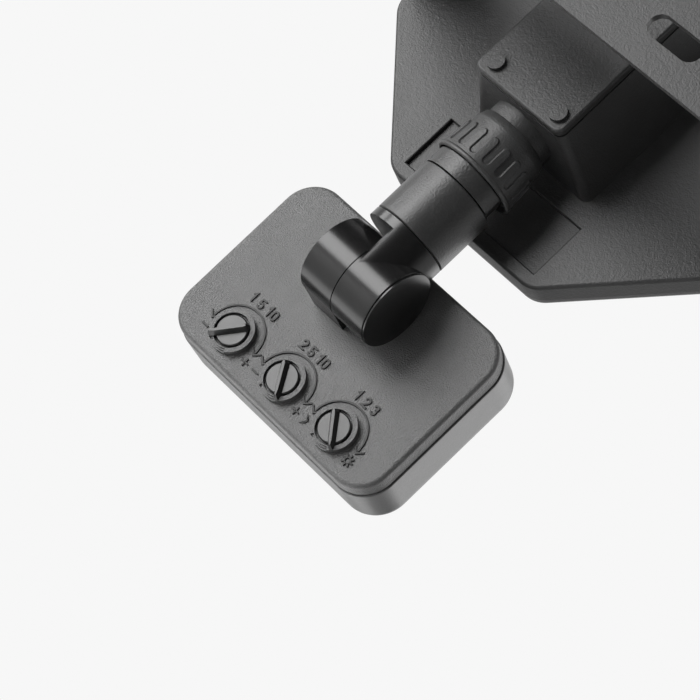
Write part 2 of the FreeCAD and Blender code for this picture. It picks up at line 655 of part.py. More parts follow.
def cableGland():
    """The mains inlet: hexagon body, lock nut inside, rubber insert and domed nut outside."""
    wallTop = "boxBaseHeight / 2"
    root = "(%s - locknutHeight)" % seatLow
    flangeTop = "(boxBaseHeight / 2 + glandFlange)"
    neckTop = "(boxBaseHeight / 2 + glandFlange + glandNeck)"
    stem, neck = "(glandThread - runningGap)", "(glandThread - 0.6)"

    def on(level):
        return ("0", "glandBehindRear", level)

    solid = joined([cylinder(on(root), stem, seatThick + " + locknutHeight + 0.5", "z", "lamp"),
                    hexagon(on(wallTop), "glandFlats", "glandFlange", "z", "lamp"),
                    cylinder(on(flangeTop + " - 0.5"), neck, "glandNeck + 0.5", "z", "lamp")])
    bore = cylinder(on(root + " - 1"), "cableBore + 0.6",
                    seatThick + " + locknutHeight + glandFlange + glandNeck + 2", "z", "lamp")
    body = cutAway(solid, bore, "gland_body")
    locknut = cutAway(hexagon(on(root), "glandFlats - 2", "locknutHeight", "z", "lamp"),
                      cylinder(on(root), "glandThread", "locknutHeight", "z", "lamp"),
                      "gland_locknut")
    domed = newBody("gland_nut", "lamp")
    low, high = flangeTop + " + 0.4", flangeTop + " + glandDome"
    inner = "glandThread - 0.55"
    profile = [(inner, low), ("glandNutRadius", low), ("glandNutRadius", high + " - 4", "4"),
               ("glandNutRadius - 4", high), ("cableBore + 0.6", high),
               ("cableBore + 0.6", neckTop + " + 0.2"), (inner, neckTop + " + 0.2")]
    revolve(domed, outlineSketch(domed, "XZ", [profile], "-glandBehindRear"))
    seal = washer(on(wallTop), "cableBore + 0.55", "cableBore", "glandFlange + glandNeck", "z",
                  "lamp", "gland_seal")
    keep(body, locknut, domed, seal)


# ---- arm

def armSleeve():
    """The plain sleeve: bearing bore for the elbow below, plug into the neck above."""
    body = newBody("arm_sleeve", "arm")
    bore, plug = "(spigotRadius + runningGap)", "(spigotRadius - runningGap)"
    clipLow, clipHigh = "spigotEnd - 2.5", "spigotEnd - 2.5 + clipThick + 0.2"
    clipRoom = "spigotRadius + clipReach + 0.15"
    plugEnd = "sleeveEnd + plugLength"
    profile = [(bore, "sleeveStart"), ("armRadius - 0.3", "sleeveStart"),
               ("armRadius", "sleeveStart + 0.3"), ("armRadius", "sleeveEnd - 0.3"),
               ("armRadius - 0.3", "sleeveEnd"), (plug, "sleeveEnd"), (plug, plugEnd),
               ("wireBore", plugEnd), ("wireBore", "spigotEnd + 1"), (bore, "spigotEnd + 1"),
               (bore, clipHigh), (clipRoom, clipHigh), (clipRoom, clipLow), (bore, clipLow)]
    revolve(body, outlineSketch(body, "XZ", [profile]))
    keep(body)


def armNeck():
    """The neck that carries the sleeve, with its raised key band, and its plug in the boss."""
    body = newBody("arm_neck", "arm")
    start, plug = "(sleeveEnd + seamGap)", "spigotRadius - runningGap"
    step = "sleeveEnd + plugLength + seamGap"
    profile = [("spigotRadius", start), ("neckRadius", start), ("neckRadius", "neckEnd"),
               (plug, "neckEnd"), (plug, "bossEnd + plugLength"),
               ("wireBore", "bossEnd + plugLength"), ("wireBore", step), ("spigotRadius", step)]
    revolve(body, outlineSketch(body, "XZ", [profile]))
    band = sector("(neckRadius - 0.3)", "bandRadius", "bandStartAngle", "bandSweep")
    pad(body, outlineSketch(body, "XY", [band], start), "bandEnd - " + start)
    keep(body)
    keep(washer(("0", "0", "neckEnd"), "neckRadius - 0.3", "spigotRadius", "bossEnd - neckEnd",
                "z", "arm", "neck_seal"))


def collarNut():
    """The locking collar: flange, counterbored mouth, tapered wall and the ring of fingers."""
    body = newBody("CollarWall", "arm")
    bore = "(neckRadius + runningGap)"
    low, high = "collarStart", "(collarStart + collarLength)"
    shoulder, tips = "(collarStart + flangeWidth)", "(collarStart + gripEnd)"
    profile = [("collarMouth", low), ("collarFlange - 0.5", low),
               ("collarFlange", low + " + 0.5"), ("collarFlange", shoulder + " - 0.2"),
               ("collarFlange - 0.2", shoulder), ("collarRadius", shoulder + " + 0.1"),
               ("collarTopRadius", tips + " + 0.4"),
               ("collarTopRadius - 0.3", tips + " + 0.7"),
               ("neckRadius + 1", high + " - 0.6"), ("neckRadius + 0.6", high), (bore, high),
               (bore, low + " + mouthDepth"), ("collarMouth", low + " + mouthDepth")]
    revolve(body, outlineSketch(body, "XZ", [profile]))
    keep(joined([body, gripFingers(shoulder, tips)], "collar_nut"))


def gripFingers(shoulder, tips):
    """A raised ring whose upper part is cut into round-ended fingers with round-ended gaps."""
    ring = newBody("GripRing", "arm")
    inner = "(collarTopRadius - 0.6)"
    profile = [(inner, shoulder + " - 0.2"), ("collarRadius + gripRise", shoulder + " - 0.2"),
               ("collarTopRadius + gripRise", tips + " + 0.3"), (inner, tips + " + 0.3")]
    revolve(ring, outlineSketch(ring, "XZ", [profile]))
    gap = "(gripGap / 2)"
    finger = "(pi / gripFingers * (collarTopRadius + gripRise) - %s)" % gap
    bottom, side = "(collarStart + gapStart + %s)" % gap, "(%s - %s)" % (tips, finger)
    edge = "(%s + %s)" % (gap, finger)
    outline = [("-" + gap, bottom, gap), (gap, bottom), (gap, side, "-" + finger), (edge, tips),
               (edge + " + 0.3", tips), (edge + " + 0.3", tips + " + 1"),
               ("-(%s + 0.3)" % edge, tips + " + 1"), ("-(%s + 0.3)" % edge, tips),
               ("-" + edge, tips, "-" + finger), ("-" + gap, side)]
    face = outlineSketch(ring, "XZ", [outline], "-(collarFlange + 1)")
    cut = pocket(ring, face, "6", reverse=True)
    pattern = ring.newObject("PartDesign::PolarPattern", "Fingers")
    pattern.Originals = [cut]
    pattern.Axis = (originFeature(ring, "Z_Axis"), [""])
    pattern.Angle = 360
    ring.Tip = pattern
    bind(pattern, "Occurrences", "gripFingers")
    doc.recompute()
    return ring


def elbow():
    """Knee drum and arm of one radius, mitred; hollow knee, hub bearing, turned spigot."""
    body = newBody("elbow", "arm")
    pad(body, circleSketch(body, "YZ", [("0", "0", "armRadius")]), "kneeHalfWidth", reverse=True)
    drumEnd = value("-kneeHalfWidth")
    easeEdges(body, "kneeEdge", lambda e: flatAt(e, "x", drumEnd))
    edge = "sqrt(armRadius * armRadius - webEdge * webEdge)"
    half = [("0", "-(armRadius - webEdge)"), ("0", "armRadius - webEdge"),
            ("-webEdge", edge, "armRadius"), ("-armRadius", "0", "armRadius"),
            ("-webEdge", "-" + edge)]
    pad(body, outlineSketch(body, "XY", [half]), "webStart + 0.5")
    top = "(sleeveStart - seamGap)"
    stub = circleSketch(body, "XY", [("0", "0", "armRadius")], "webStart")
    pad(body, stub, top + " - webStart")
    spigot = circleSketch(body, "XY", [("0", "0", "spigotRadius")], top + " - 1")
    pad(body, spigot, "spigotEnd - %s + 1" % top)
    for low, width, root in (("spigotEnd - 2.45", "clipThick + 0.1", "spigotRadius - clipReach"),
                             ("sleeveStart + 3", "sealThick + 0.3", "spigotRadius - sealThick")):
        high = "%s + %s" % (low, width)
        notch = outlineSketch(body, "XZ", [[(root, low), ("spigotRadius + 0.5", low),
                                            ("spigotRadius + 0.5", high), (root, high)]])
        revolve(body, notch, cut=True)
    well = circleSketch(body, "YZ", [("0", "0", "kneeBore")], "-kneeHalfWidth")
    pocket(body, well, "kneeHalfWidth - hubWall", reverse=True)
    hub = circleSketch(body, "YZ", [("0", "0", "hubRadius + runningGap")], "-hubWall - 1")
    pocket(body, hub, "hubWall + 2", reverse=True)
    wires = circleSketch(body, "XY", [("-(hubWall + 2.9)", "0", "2.8")])
    pocket(body, wires, top + " - 0.8", reverse=True)
    bore = circleSketch(body, "XY", [("0", "0", "wireBore - 0.4")], "webStart + 0.7")
    pocket(body, bore, "spigotEnd", reverse=True)
    keep(body)


def kneeCap():
    """The domed cap that closes the knee drum, with its press-in skirt."""
    body = newBody("elbow_cap", "arm")
    rim = "(armRadius - 0.15)"
    seat, groove = "kneeHalfWidth", "(kneeHalfWidth + capGroove)"
    edge = "(%s + capEdge)" % groove
    crown = "(%s + capRise)" % edge
    bow = "((%s * %s + capRise * capRise) / (2 * capRise))" % (rim, rim)
    skirt = "(kneeBore - runningGap)"
    profile = [("-" + crown, "0", "-" + bow), ("-" + edge, rim), ("-" + groove, rim),
               ("-" + groove, rim + " - grooveDepth"), ("-" + seat, rim + " - grooveDepth"),
               ("-" + seat, skirt), ("-(kneeHalfWidth - capSkirt)", skirt),
               ("-(kneeHalfWidth - capSkirt)", "kneeBore - 1.5"),
               ("-" + seat, "kneeBore - 1.5"), ("-" + seat, "0")]
    revolve(body, outlineSketch(body, "XZ", [profile]), "H_Axis")
    keep(body)


def kneeFixings():
    """The clip and ring on the elbow's spigot, and the screw that clamps the knee."""
    clip = washer(("0", "0", "spigotEnd - 2.4"), "spigotRadius + clipReach",
                  "spigotRadius - clipReach", "clipThick", "z", "arm", "swivel_clip")
    seal = doc.addObject("Part::Torus", "swivel_seal")
    seal.Label = "swivel_seal"
    bind(seal, "Radius1", "spigotRadius - sealThick / 2")
    bind(seal, "Radius2", "sealThick / 2")
    atSpot(seal, ("0", "0", "sleeveStart + 3.15 + sealThick / 2"), "z", "arm")
    under = "(hubWall + seamGap)"
    ring = washer(("-" + under, "0", "0"), "hubRadius + 2.6", "2.1", "1.2", "-x", "arm",
                  "knee_washer")
    bolt = screw(("-(%s + 3.6)" % under, "0", "0"), "3.6", "2.4", "2 - runningGap",
                 "hubWall + 9", "x", "arm", "knee_screw")
    keep(clip, seal, ring, bolt)


# ---- sensor head

footSpots = [("kneeHalfWidth / 2 - armOffset", "kneeOffset %s footScrewSpan / 2" % s)
             for s in ("-", "+")]


def pivotFoot():
    """The foot: a drum beside the elbow's, running down to a block on the cover."""
    body = newBody("pivot_foot", "head")
    start = "(kneeGap - armOffset)"
    width = "kneeHalfWidth - kneeGap"
    drum = circleSketch(body, "YZ", [("kneeAbovePlate", "kneeOffset", "armRadius")], start)
    pad(body, drum, width)
    sides = [("0", "kneeOffset - footHalf"), ("0", "kneeOffset + footHalf"),
             ("kneeAbovePlate - 1", "kneeOffset + footHalf"),
             ("kneeAbovePlate - 1", "kneeOffset - footHalf")]
    pad(body, outlineSketch(body, "YZ", [sides], start), width)
    end = value("kneeHalfWidth - armOffset")
    easeEdges(body, "footRound", lambda e: flatAt(e, "x", end) and e.BoundBox.YMax > 1)
    hubStart = "-(armOffset + hubWall + seamGap)"
    hub = circleSketch(body, "YZ", [("kneeAbovePlate", "kneeOffset", "hubRadius")], hubStart)
    pad(body, hub, "hubWall + seamGap + 2")
    thread = circleSketch(body, "YZ", [("kneeAbovePlate", "kneeOffset", "2")], hubStart + " - 1")
    pocket(body, thread, "hubWall + 11", reverse=True)
    holesAt(body, footSpots, "smallScrew", "6", "0", reverse=False)
    keep(body)


dialSpots = [(sign + "dialPitch", "-dialDrop") for sign in ("", "0 * ", "-")]
postSpots = fourSpots("postAcross / 2", "postUp / 2")


def sensorCover():
    """The head's rear cover: a shallow tray, three dial bosses with a stepped side, posts."""
    body = newBody("sensor_cover", "head")
    w, d = "sensorWidth / 2", "sensorHeight / 2"
    pad(body, outlineSketch(body, "XZ", [roundRectangle(w, d, "sensorCorner")]), "coverDepth")
    easeEdges(body, "coverRound", lambda e: flatAt(e, "y", 0))
    inside = roundRectangle(w + " - sensorWall", d + " - sensorWall", "sensorCorner - sensorWall")
    pocket(body, outlineSketch(body, "XZ", [inside], "coverWall"), "coverDepth", reverse=True)
    postsAt(body, dialSpots, "dialBoss", "dialBossRise + 1", "1", reverse=True)
    holesAt(body, dialSpots, "dialWell", "dialThick + seamGap / 2", "-dialBossRise")
    holesAt(body, dialSpots, "dialShaft + runningGap", "dialBossRise + coverWall + 1",
            "-dialBossRise")
    for inner, steps in (("(dialWell + 0.25)", 1), ("(dialWell + 0.7)", 2)):
        ledges = newSketch(body, "XZ", "-dialBossRise")
        for x, z in dialSpots:
            drawOutline(ledges, sector(inner, "(dialBoss + 0.3)", "bossStepStart",
                                       "bossStepSweep", x, z))
        pocket(body, ledges, "bossStep * %d" % steps, reverse=True)
    postsAt(body, postSpots, "postRadius", "sensorBoardDepth - 1", "1")
    holesAt(body, postSpots, "screwRadius", "sensorBoardDepth", "coverWall")
    holesAt(body, footSpots, "smallScrew + 0.1", "coverWall + 2", "-1")
    keep(body)


def sensorHousing():
    """The head's front shell, a step wider than the cover, with the lens opening."""
    body = newBody("sensor_housing", "head")
    w, d = "sensorWidth / 2", "sensorHeight / 2"
    seam = "coverDepth + headSeam"

    def section(inset, corner, offset):
        outline = roundRectangle("%s - (%s)" % (w, inset), "%s - (%s)" % (d, inset), corner)
        return outlineSketch(body, "XZ", [outline], offset)

    loft(body, section("-shellStep", "sensorCorner + shellStep", seam),
         section("sensorDraft - shellStep", "sensorCorner + shellStep - sensorDraft / 2",
                 "sensorDepth"))
    rear = value("-(%s)" % seam)
    easeEdges(body, "shellStep - 0.05", lambda e: flatAt(e, "y", rear))
    front = value("-sensorDepth")
    easeEdges(body, "sensorRound", lambda e: flatAt(e, "y", front))
    loft(body, section("sensorWall", "sensorCorner - sensorWall", seam),
         section("sensorWall + sensorDraft", "sensorCorner - sensorWall - sensorDraft / 2",
                 "sensorDepth - sensorWall"), cut=True)
    opening = outlineSketch(body, "XZ", [rectangle("lensWidth / 2 - 1", "lensHeight / 2 - 1")],
                            "sensorDepth + 1")
    pocket(body, opening, "sensorWall + 3")
    postsAt(body, postSpots, "postRadius",
            "sensorDepth - sensorWall - sensorBoardDepth - boardThick + 0.5",
            "sensorDepth - sensorWall + 0.5", reverse=True)
    holesAt(body, postSpots, "screwRadius + 0.1", "sensorDepth", "sensorDepth + 1", reverse=False)
    holesAt(body, postSpots, "screwHead", "screwHeadHeight + 1", "sensorDepth + 1", reverse=False)
    keep(body)


def fresnelLens():
    """The bowed window of the detector, a thin shell with a flange behind the front wall."""
    body = newBody("fresnel_lens", "head")
    half, rise = "(lensWidth / 2 - 1.2)", "(lensHeight / 2 - 1.2)"
    back, face = "-(sensorDepth - sensorWall)", "-(sensorDepth + 0.4)"
    bow = [(half, back), (half, face, "-lensRadius"), ("-" + half, face), ("-" + half, back)]
    pad(body, outlineSketch(body, "XY", [bow]), rise + " * 2", middle=True)
    frontMost = value(face) - 2
    easeEdges(body, "lensEdge", lambda e: e.BoundBox.YMin < frontMost)
    inner = "(lensWidth / 2 - 1.2 - lensWall)"
    flange = outlineSketch(body, "XZ", [rectangle("lensWidth / 2", "lensHeight / 2")],
                           "sensorDepth - sensorWall - lensBack")
    pad(body, flange, "lensBack")
    innerFace = face + " + lensWall / 2"
    hollow = [(inner, back + " + lensBack + 1"), (inner, innerFace, "-(lensRadius - lensWall)"),
              ("-" + inner, innerFace), ("-" + inner, back + " + lensBack + 1")]
    pocket(body, outlineSketch(body, "XY", [hollow]), "(%s - lensWall) * 2" % rise, middle=True)
    keep(body)


def headInside():
    """Gasket, board, detector, light cell, relay, potentiometers, dial seals and screws."""
    gasket = newBody("sensor_gasket", "head")
    w, d = "sensorWidth / 2", "sensorHeight / 2"
    outer = roundRectangle(w + " - gasketInset", d + " - gasketInset",
                           "sensorCorner - gasketInset")
    inner = roundRectangle(w + " - sensorWall", d + " - sensorWall", "sensorCorner - sensorWall")
    pad(gasket, outlineSketch(gasket, "XZ", [outer, inner], "coverDepth"), "headSeam")
    board = newBody("sensor_board", "head")
    face = newSketch(board, "XZ", "sensorBoardDepth")
    drawOutline(face, roundRectangle("postAcross / 2 + 3.5", "postUp / 2 + 3", "4"))
    for x, z in postSpots:
        drawCircle(face, x, z, "screwRadius + 0.1")
    pad(board, face, "boardThick")
    front = "-(sensorBoardDepth + boardThick + %s)"
    detector = cylinder(("0", front % "detectorHeight", "0"), "detectorRadius", "detectorHeight",
                        "y", "head")
    detector.Label = "infrared_detector"
    cell = cylinder(("16", front % "2", "8"), "2.5", "2", "y", "head")
    cell.Label = "daylight_cell"
    relay = block(("-27", front % "6.5", "-13"), ("12", "6.5", "19"), "head", "switching_relay")
    keep(gasket, board, detector, cell, relay)
    pots, seals = [], []
    for x, z in dialSpots:
        base = (x + " - potSize / 2", "-sensorBoardDepth", z + " - potSize / 2")
        tall = "sensorBoardDepth - dialShaftEnd - seamGap"
        pots.append(cutAway(block(base, ("potSize", tall, "potSize"), "head"),
                            cylinder((x, "-sensorBoardDepth", z), "potPin + runningGap",
                                     "potSize", "y", "head")))
        seals.append(washer((x, "-(coverWall + 1.2)", z), "dialShaft + 1.4",
                            "dialShaft + runningGap", "1.2", "y", "head"))
    keep(together(pots, "potentiometers"), together(seals, "dial_seals"))
    screws = [screw((x, "-sensorDepth", z), "screwHead - runningGap", "screwHeadHeight",
                    "screwRadius - runningGap", "sensorDepth - screwHeadHeight - coverWall - 1",
                    "y", "head") for x, z in postSpots]
    feet = [screw((x, "-(coverWall + smallHeadHeight)", z), "smallHead", "smallHeadHeight",
                  "smallScrew - runningGap", "coverWall + 5", "y", "head") for x, z in footSpots]
    keep(together(screws, "head_screws"), together(feet, "foot_screws"))


def barSection(body, half, level):
    """The grip bar's outline at a level: square back end, sides closing to the long tip."""
    blunt = "(barBack - barWidth / 2 + %s)" % half
    tip = "(barReach - barWidth / 2 + %s)" % half
    shoulder = "(%s - 1.4)" % tip
    return outlineSketch(body, "XZ", [[
        ("-%s * 0.5" % half, blunt), ("-" + half, "(%s - 0.7)" % blunt),
        ("-%s * 0.85" % half, "-" + shoulder), ("-%s * 0.35" % half, "-" + tip),
        ("%s * 0.35" % half, "-" + tip), ("%s * 0.85" % half, "-" + shoulder),
        (half, "(%s - 0.7)" % blunt), ("%s * 0.5" % half, blunt)]], "-" + level)


def dial(label, spot, turn):
    """A dial: disc level with its boss, a pointed grip bar and a shaft into the cover."""
    body = newBody(label, "head")
    low, high = "dialBossRise - dialThick", "(dialBossRise + legGap)"
    profile = [("0", "-(dialShaftEnd + 2)"), ("potPin", "-(dialShaftEnd + 2)"),
               ("potPin", "-dialShaftEnd"), ("dialShaft", "-dialShaftEnd"), ("dialShaft", low),
               ("dialRadius", low), ("dialRadius", high + " - 0.3"),
               ("dialRadius - 0.3", high), ("0", high)]
    revolve(body, outlineSketch(body, "XY", [profile]))
    loft(body, barSection(body, "(barWidth / 2)", high),
         barSection(body, "(barTop / 2)", "(%s + barRise)" % high))
    body.Placement = Placement(Vector(), Rotation(Vector(0, 1, 0), turn))
    for axis, own, shared in zip("xyz", (spot[0], "0", spot[1]), places["head"]):
        bind(body, "Placement.Base." + axis, "(%s) + (%s)" % (own, shared))
    keep(body)


mountingBracket()
tiltFixings()
lampHousing()
frontBezel()
lightSource()
boxLid()
driver()
cableGland()
armSleeve()
armNeck()
collarNut()
elbow()
kneeCap()
kneeFixings()
pivotFoot()
sensorCover()
sensorHousing()
fresnelLens()
headInside()
for name, spot, turn in zip(("time_dial", "range_dial", "dusk_dial"), dialSpots, (-40, 34, 41)):
    dial(name, spot, turn)
doc.recompute()

for thing in doc.Objects:
    if {"Invalid", "Error"} & set(thing.State):
        raise ValueError(thing.Name + " is in state " + str(thing.State))
os.makedirs("parts", exist_ok=True)
for thing in nodes:
    shape = thing.Shape
    if shape.isNull() or not shape.isValid() or not shape.Solids:
        raise ValueError(thing.Label + " has no valid solid")
    shape.exportStep(os.path.join("parts", thing.Label + ".step"))
    print("%-18s %2d solid(s) %9.1f mm3" % (thing.Label, len(shape.Solids), shape.Volume))
print("%d sub-parts" % len(nodes))
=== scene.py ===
import math

import bmesh
import bpy
import numpy as np
from mathutils import Matrix


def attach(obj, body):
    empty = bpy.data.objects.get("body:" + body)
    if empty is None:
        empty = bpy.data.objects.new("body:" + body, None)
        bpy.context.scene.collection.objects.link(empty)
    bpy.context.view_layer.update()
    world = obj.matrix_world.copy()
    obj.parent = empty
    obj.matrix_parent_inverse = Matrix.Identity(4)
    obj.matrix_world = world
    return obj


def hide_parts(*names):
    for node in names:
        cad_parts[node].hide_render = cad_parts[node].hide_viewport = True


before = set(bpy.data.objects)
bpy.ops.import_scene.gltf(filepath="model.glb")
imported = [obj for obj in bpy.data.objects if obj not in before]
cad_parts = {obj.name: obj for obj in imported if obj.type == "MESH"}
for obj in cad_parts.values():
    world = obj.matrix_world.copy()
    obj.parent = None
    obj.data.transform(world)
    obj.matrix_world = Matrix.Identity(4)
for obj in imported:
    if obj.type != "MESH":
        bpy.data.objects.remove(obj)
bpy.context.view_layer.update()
print("frame loaded:", len(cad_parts), "nodes")

mm = 0.001


# camera, lights and floor

cameraLook = {
    "place": (-0.31264, 0.54449, -0.17753),
    "right": (-0.65618, -0.23127, 0.71829),
    "up": (0.61004, 0.39769, 0.68534),
    "back": (-0.44416, 0.88789, -0.11987),
    "lens": 140.45, "sensor": 36.0,
}


def makeCamera(look):
    data = bpy.data.cameras.new("camera")
    data.lens, data.sensor_width, data.sensor_fit = look["lens"], look["sensor"], "HORIZONTAL"
    data.clip_start, data.clip_end = 0.01, 20.0
    camera = bpy.data.objects.new("camera", data)
    axes = np.eye(4)
    axes[:3, 0], axes[:3, 1], axes[:3, 2] = look["right"], look["up"], look["back"]
    axes[:3, 3] = look["place"]
    camera.matrix_world = Matrix(axes.tolist())
    bpy.context.scene.collection.objects.link(camera)
    bpy.context.scene.camera = camera


# each soft box: what it looks at, the way to it, how far, its width, its brightness
softBoxes = {
    "keyBox": {"at": (-0.005, -0.07, -0.09), "way": (0.55, 0.82, 0.10),
               "far": 1.0, "size": 0.60, "bright": 9.8},
    "sideBox": {"at": (0.0, -0.06, -0.07), "way": (0.93, 0.36, 0.05),
                "far": 1.0, "size": 0.34, "bright": 9.0},
    "frontBox": {"at": (0.0, -0.08, -0.05), "way": (-0.44, -0.89, 0.25),
                 "far": 1.1, "size": 0.7, "bright": 1.2},
    "tableBox": {"at": (0.0, -0.08, -0.1), "way": (0.15, -0.45, -0.88),
                 "far": 0.33, "size": 0.4, "bright": 1.9},
    "topBox": {"at": (0.0, -0.06, -0.05), "way": (-0.35, 0.25, 0.9),
               "far": 1.0, "size": 0.6, "bright": 1.0},
}


def makeSoftBox(name, look):
    # an area light of brightness L gives out L * pi * its area
    data = bpy.data.lights.new(name, "AREA")
    data.shape, data.size = "SQUARE", look["size"]
    data.energy = look["bright"] * math.pi * look["size"] ** 2
    lamp = bpy.data.objects.new(name, data)
    way = np.array(look["way"]) / np.linalg.norm(look["way"])
    side = np.cross((0.0, 0.0, 1.0), way)
    side /= np.linalg.norm(side)
    axes = np.eye(4)
    axes[:3, 0], axes[:3, 1], axes[:3, 2] = side, np.cross(way, side), way
    axes[:3, 3] = np.array(look["at"]) + look["far"] * way
    lamp.matrix_world = Matrix(axes.tolist())
    lamp.visible_camera = False
    bpy.context.scene.collection.objects.link(lamp)


# the pale table and wall are on the glass side, the dark of the room behind the camera
roomLook = {"seen": 0.93, "paleFill": 0.50, "darkFill": 0.10, "paleGloss": 0.95,
            "darkGloss": 0.06, "turnOver": 2.2,
            "floorLevel": -0.46, "floorRadius": 2.5, "floorColour": 0.86, "floorSeen": 0.55}


# shader tools

class Wire:
    # an output socket that Python's own operators work on
    def __init__(self, paint, socket):
        self.paint, self.socket = paint, socket

    def __add__(self, other): return self.paint.maths("ADD", self, other)
    def __radd__(self, other): return self.paint.maths("ADD", other, self)
    def __sub__(self, other): return self.paint.maths("SUBTRACT", self, other)
    def __rsub__(self, other): return self.paint.maths("SUBTRACT", other, self)
    def __mul__(self, other): return self.paint.maths("MULTIPLY", self, other)
    def __rmul__(self, other): return self.paint.maths("MULTIPLY", other, self)
    def __truediv__(self, other): return self.paint.maths("DIVIDE", self, other)
    def __pow__(self, other): return self.paint.maths("POWER", self, other)


class Paint:
    def __init__(self, holder):
        holder.use_nodes = True
        self.holder, self.tree = holder, holder.node_tree
        self.tree.nodes.clear()

    # settings first, then each socket's value or link
    def node(self, kind, settings=None, values=None, out=0):
        made = self.tree.nodes.new(kind)
        for key, setting in (settings or {}).items():
            if key == "stops":
                spots = made.color_ramp.elements
                while len(spots) < len(setting):
                    spots.new(0.5)
                for spot, (position, level) in zip(spots, setting):
                    spot.position, spot.color = position, grey(level)
            else:
                setattr(made, key, setting)
        for key, wanted in (values or {}).items():
            if isinstance(wanted, Wire):
                self.tree.links.new(wanted.socket, made.inputs[key])
            else:
                made.inputs[key].default_value = wanted
        return Wire(self, made.outputs[out]) if made.outputs else None

    def maths(self, operation, first, second=0.0):
        return self.node("ShaderNodeMath", {"operation": operation}, {0: first, 1: second})

    def place(self):
        return self.node("ShaderNodeTexCoord", out=3)

    def noise(self, size, detail=2.0, rough=0.5, place=None):
        return self.node("ShaderNodeTexNoise", values={
            "Vector": place or self.place(), "Scale": 1.0 / size, "Detail": detail,
            "Roughness": rough})

    def stretched(self, scale):
        return self.node("ShaderNodeMapping", values={"Vector": self.place(), "Scale": scale})

    def ramp(self, wire, stops):
        return self.node("ShaderNodeValToRGB", {"stops": stops}, {"Fac": wire})

    def mixed(self, factor, first, second):
        return self.node("ShaderNodeMix", {"data_type": "RGBA"},
                         {0: factor, 6: first, 7: second}, out=2)

    def bump(self, height, depth, normal=None):
        values = {"Height": height, "Distance": depth, "Strength": 1.0}
        if normal:
            values["Normal"] = normal
        return self.node("ShaderNodeBump", values=values)

    def finish(self, **sockets):
        values = {key.replace("_", " "): wanted for key, wanted in sockets.items()}
        shader = self.node("ShaderNodeBsdfPrincipled", values=values)
        self.node("ShaderNodeOutputMaterial", values={"Surface": shader})
        return self.holder


def grey(level):
    return (level, level, level, 1.0)


def colour(red, green, blue):
    return (red, green, blue, 1.0)


def newPaint(name):
    return Paint(bpy.data.materials.new(name))


def makeRoom(look):
    paint = Paint(bpy.data.worlds.new("studio"))
    path = {name: paint.node("ShaderNodeLightPath", out=name)
            for name in ("Is Camera Ray", "Is Glossy Ray", "Is Transmission Ray")}
    mirrored = paint.maths("MAXIMUM", path["Is Glossy Ray"], path["Is Transmission Ray"])
    way = paint.node("ShaderNodeTexCoord", out=0)
    ahead = paint.node("ShaderNodeSeparateXYZ", values={"Vector": way}, out=1)
    pale = paint.node("ShaderNodeClamp", values={"Value": 0.5 - ahead * look["turnOver"]})
    gloss = paint.mixed(pale, grey(look["darkGloss"]), grey(look["paleGloss"]))
    fill = paint.mixed(pale, grey(look["darkFill"]), grey(look["paleFill"]))
    shade = paint.mixed(path["Is Camera Ray"], paint.mixed(mirrored, fill, gloss),
                        grey(look["seen"]))
    back = paint.node("ShaderNodeBackground", values={"Color": shade, "Strength": 1.0})
    paint.node("ShaderNodeOutputWorld", values={"Surface": back})
    bpy.context.scene.world = paint.holder
    floorPaint = newPaint("floorPaint")
    speckle = floorPaint.noise(0.02) * 0.02 + (look["floorColour"] - 0.01)
    camera = floorPaint.node("ShaderNodeLightPath", out="Is Camera Ray")
    glow = floorPaint.mixed(camera, grey(0.0), grey(look["floorSeen"]))
    floorPaint.finish(Base_Color=speckle, Roughness=0.7, Emission_Color=glow,
                      Emission_Strength=1.0)
    turn = np.linspace(0, 2 * math.pi, 97)[:-1]
    rim = np.stack([look["floorRadius"] * np.cos(turn), look["floorRadius"] * np.sin(turn),
                    np.full_like(turn, look["floorLevel"])], axis=1)
    mesh = bpy.data.meshes.new("floor")
    mesh.from_pydata(rim.tolist(), [], [list(range(len(rim)))])
    mesh.materials.append(floorPaint.holder)
    floor = bpy.data.objects.new("floor", mesh)
    bpy.context.scene.collection.objects.link(floor)


makeCamera(cameraLook)
for name, look in softBoxes.items():
    makeSoftBox(name, look)
makeRoom(roomLook)
scene = bpy.context.scene
scene.view_settings.view_transform = "Standard"
print("camera, lights and floor set")


# finishes

plasticLooks = {
    # shade, roughness, its spread, grain size in metres and depth, gloss at the normal
    "grainedPlastic": {"shade": 0.075, "rough": 0.40, "spread": 0.10, "grain": 0.00040,
                       "depth": 0.000220, "gloss": 0.55},
    # the shell is the cover's black plastic: its smoother finish is real, its lighter base is
    # painted light standing for the light its side walls catch
    "shellPlasticPaintedLight": {"shade": 0.085, "rough": 0.32, "spread": 0.06, "grain": 0.00050,
                     "depth": 0.000030, "gloss": 0.60},
    # the marks are the cover's own plastic; their much darker base is painted shade standing for
    # the shade along the raised strokes' edges
    "markPlasticPaintedShade": {"shade": 0.008, "rough": 0.46, "spread": 0.04, "grain": 0.00050,
                    "depth": 0.000010, "gloss": 0.36},
    "smoothPlastic": {"shade": 0.008, "rough": 0.24, "spread": 0.05, "grain": 0.0005,
                      "depth": 0.000005, "gloss": 0.42},
    "sleevePlastic": {"shade": 0.028, "rough": 0.36, "spread": 0.07, "grain": 0.00050,
                      "depth": 0.000100, "gloss": 0.50},
    "collarPlastic": {"shade": 0.036, "rough": 0.42, "spread": 0.08, "grain": 0.00050,
                      "depth": 0.000080, "gloss": 0.50},
    "dialPlastic": {"shade": 0.012, "rough": 0.34, "spread": 0.06, "grain": 0.0003,
                    "depth": 0.000020, "gloss": 0.50},
}


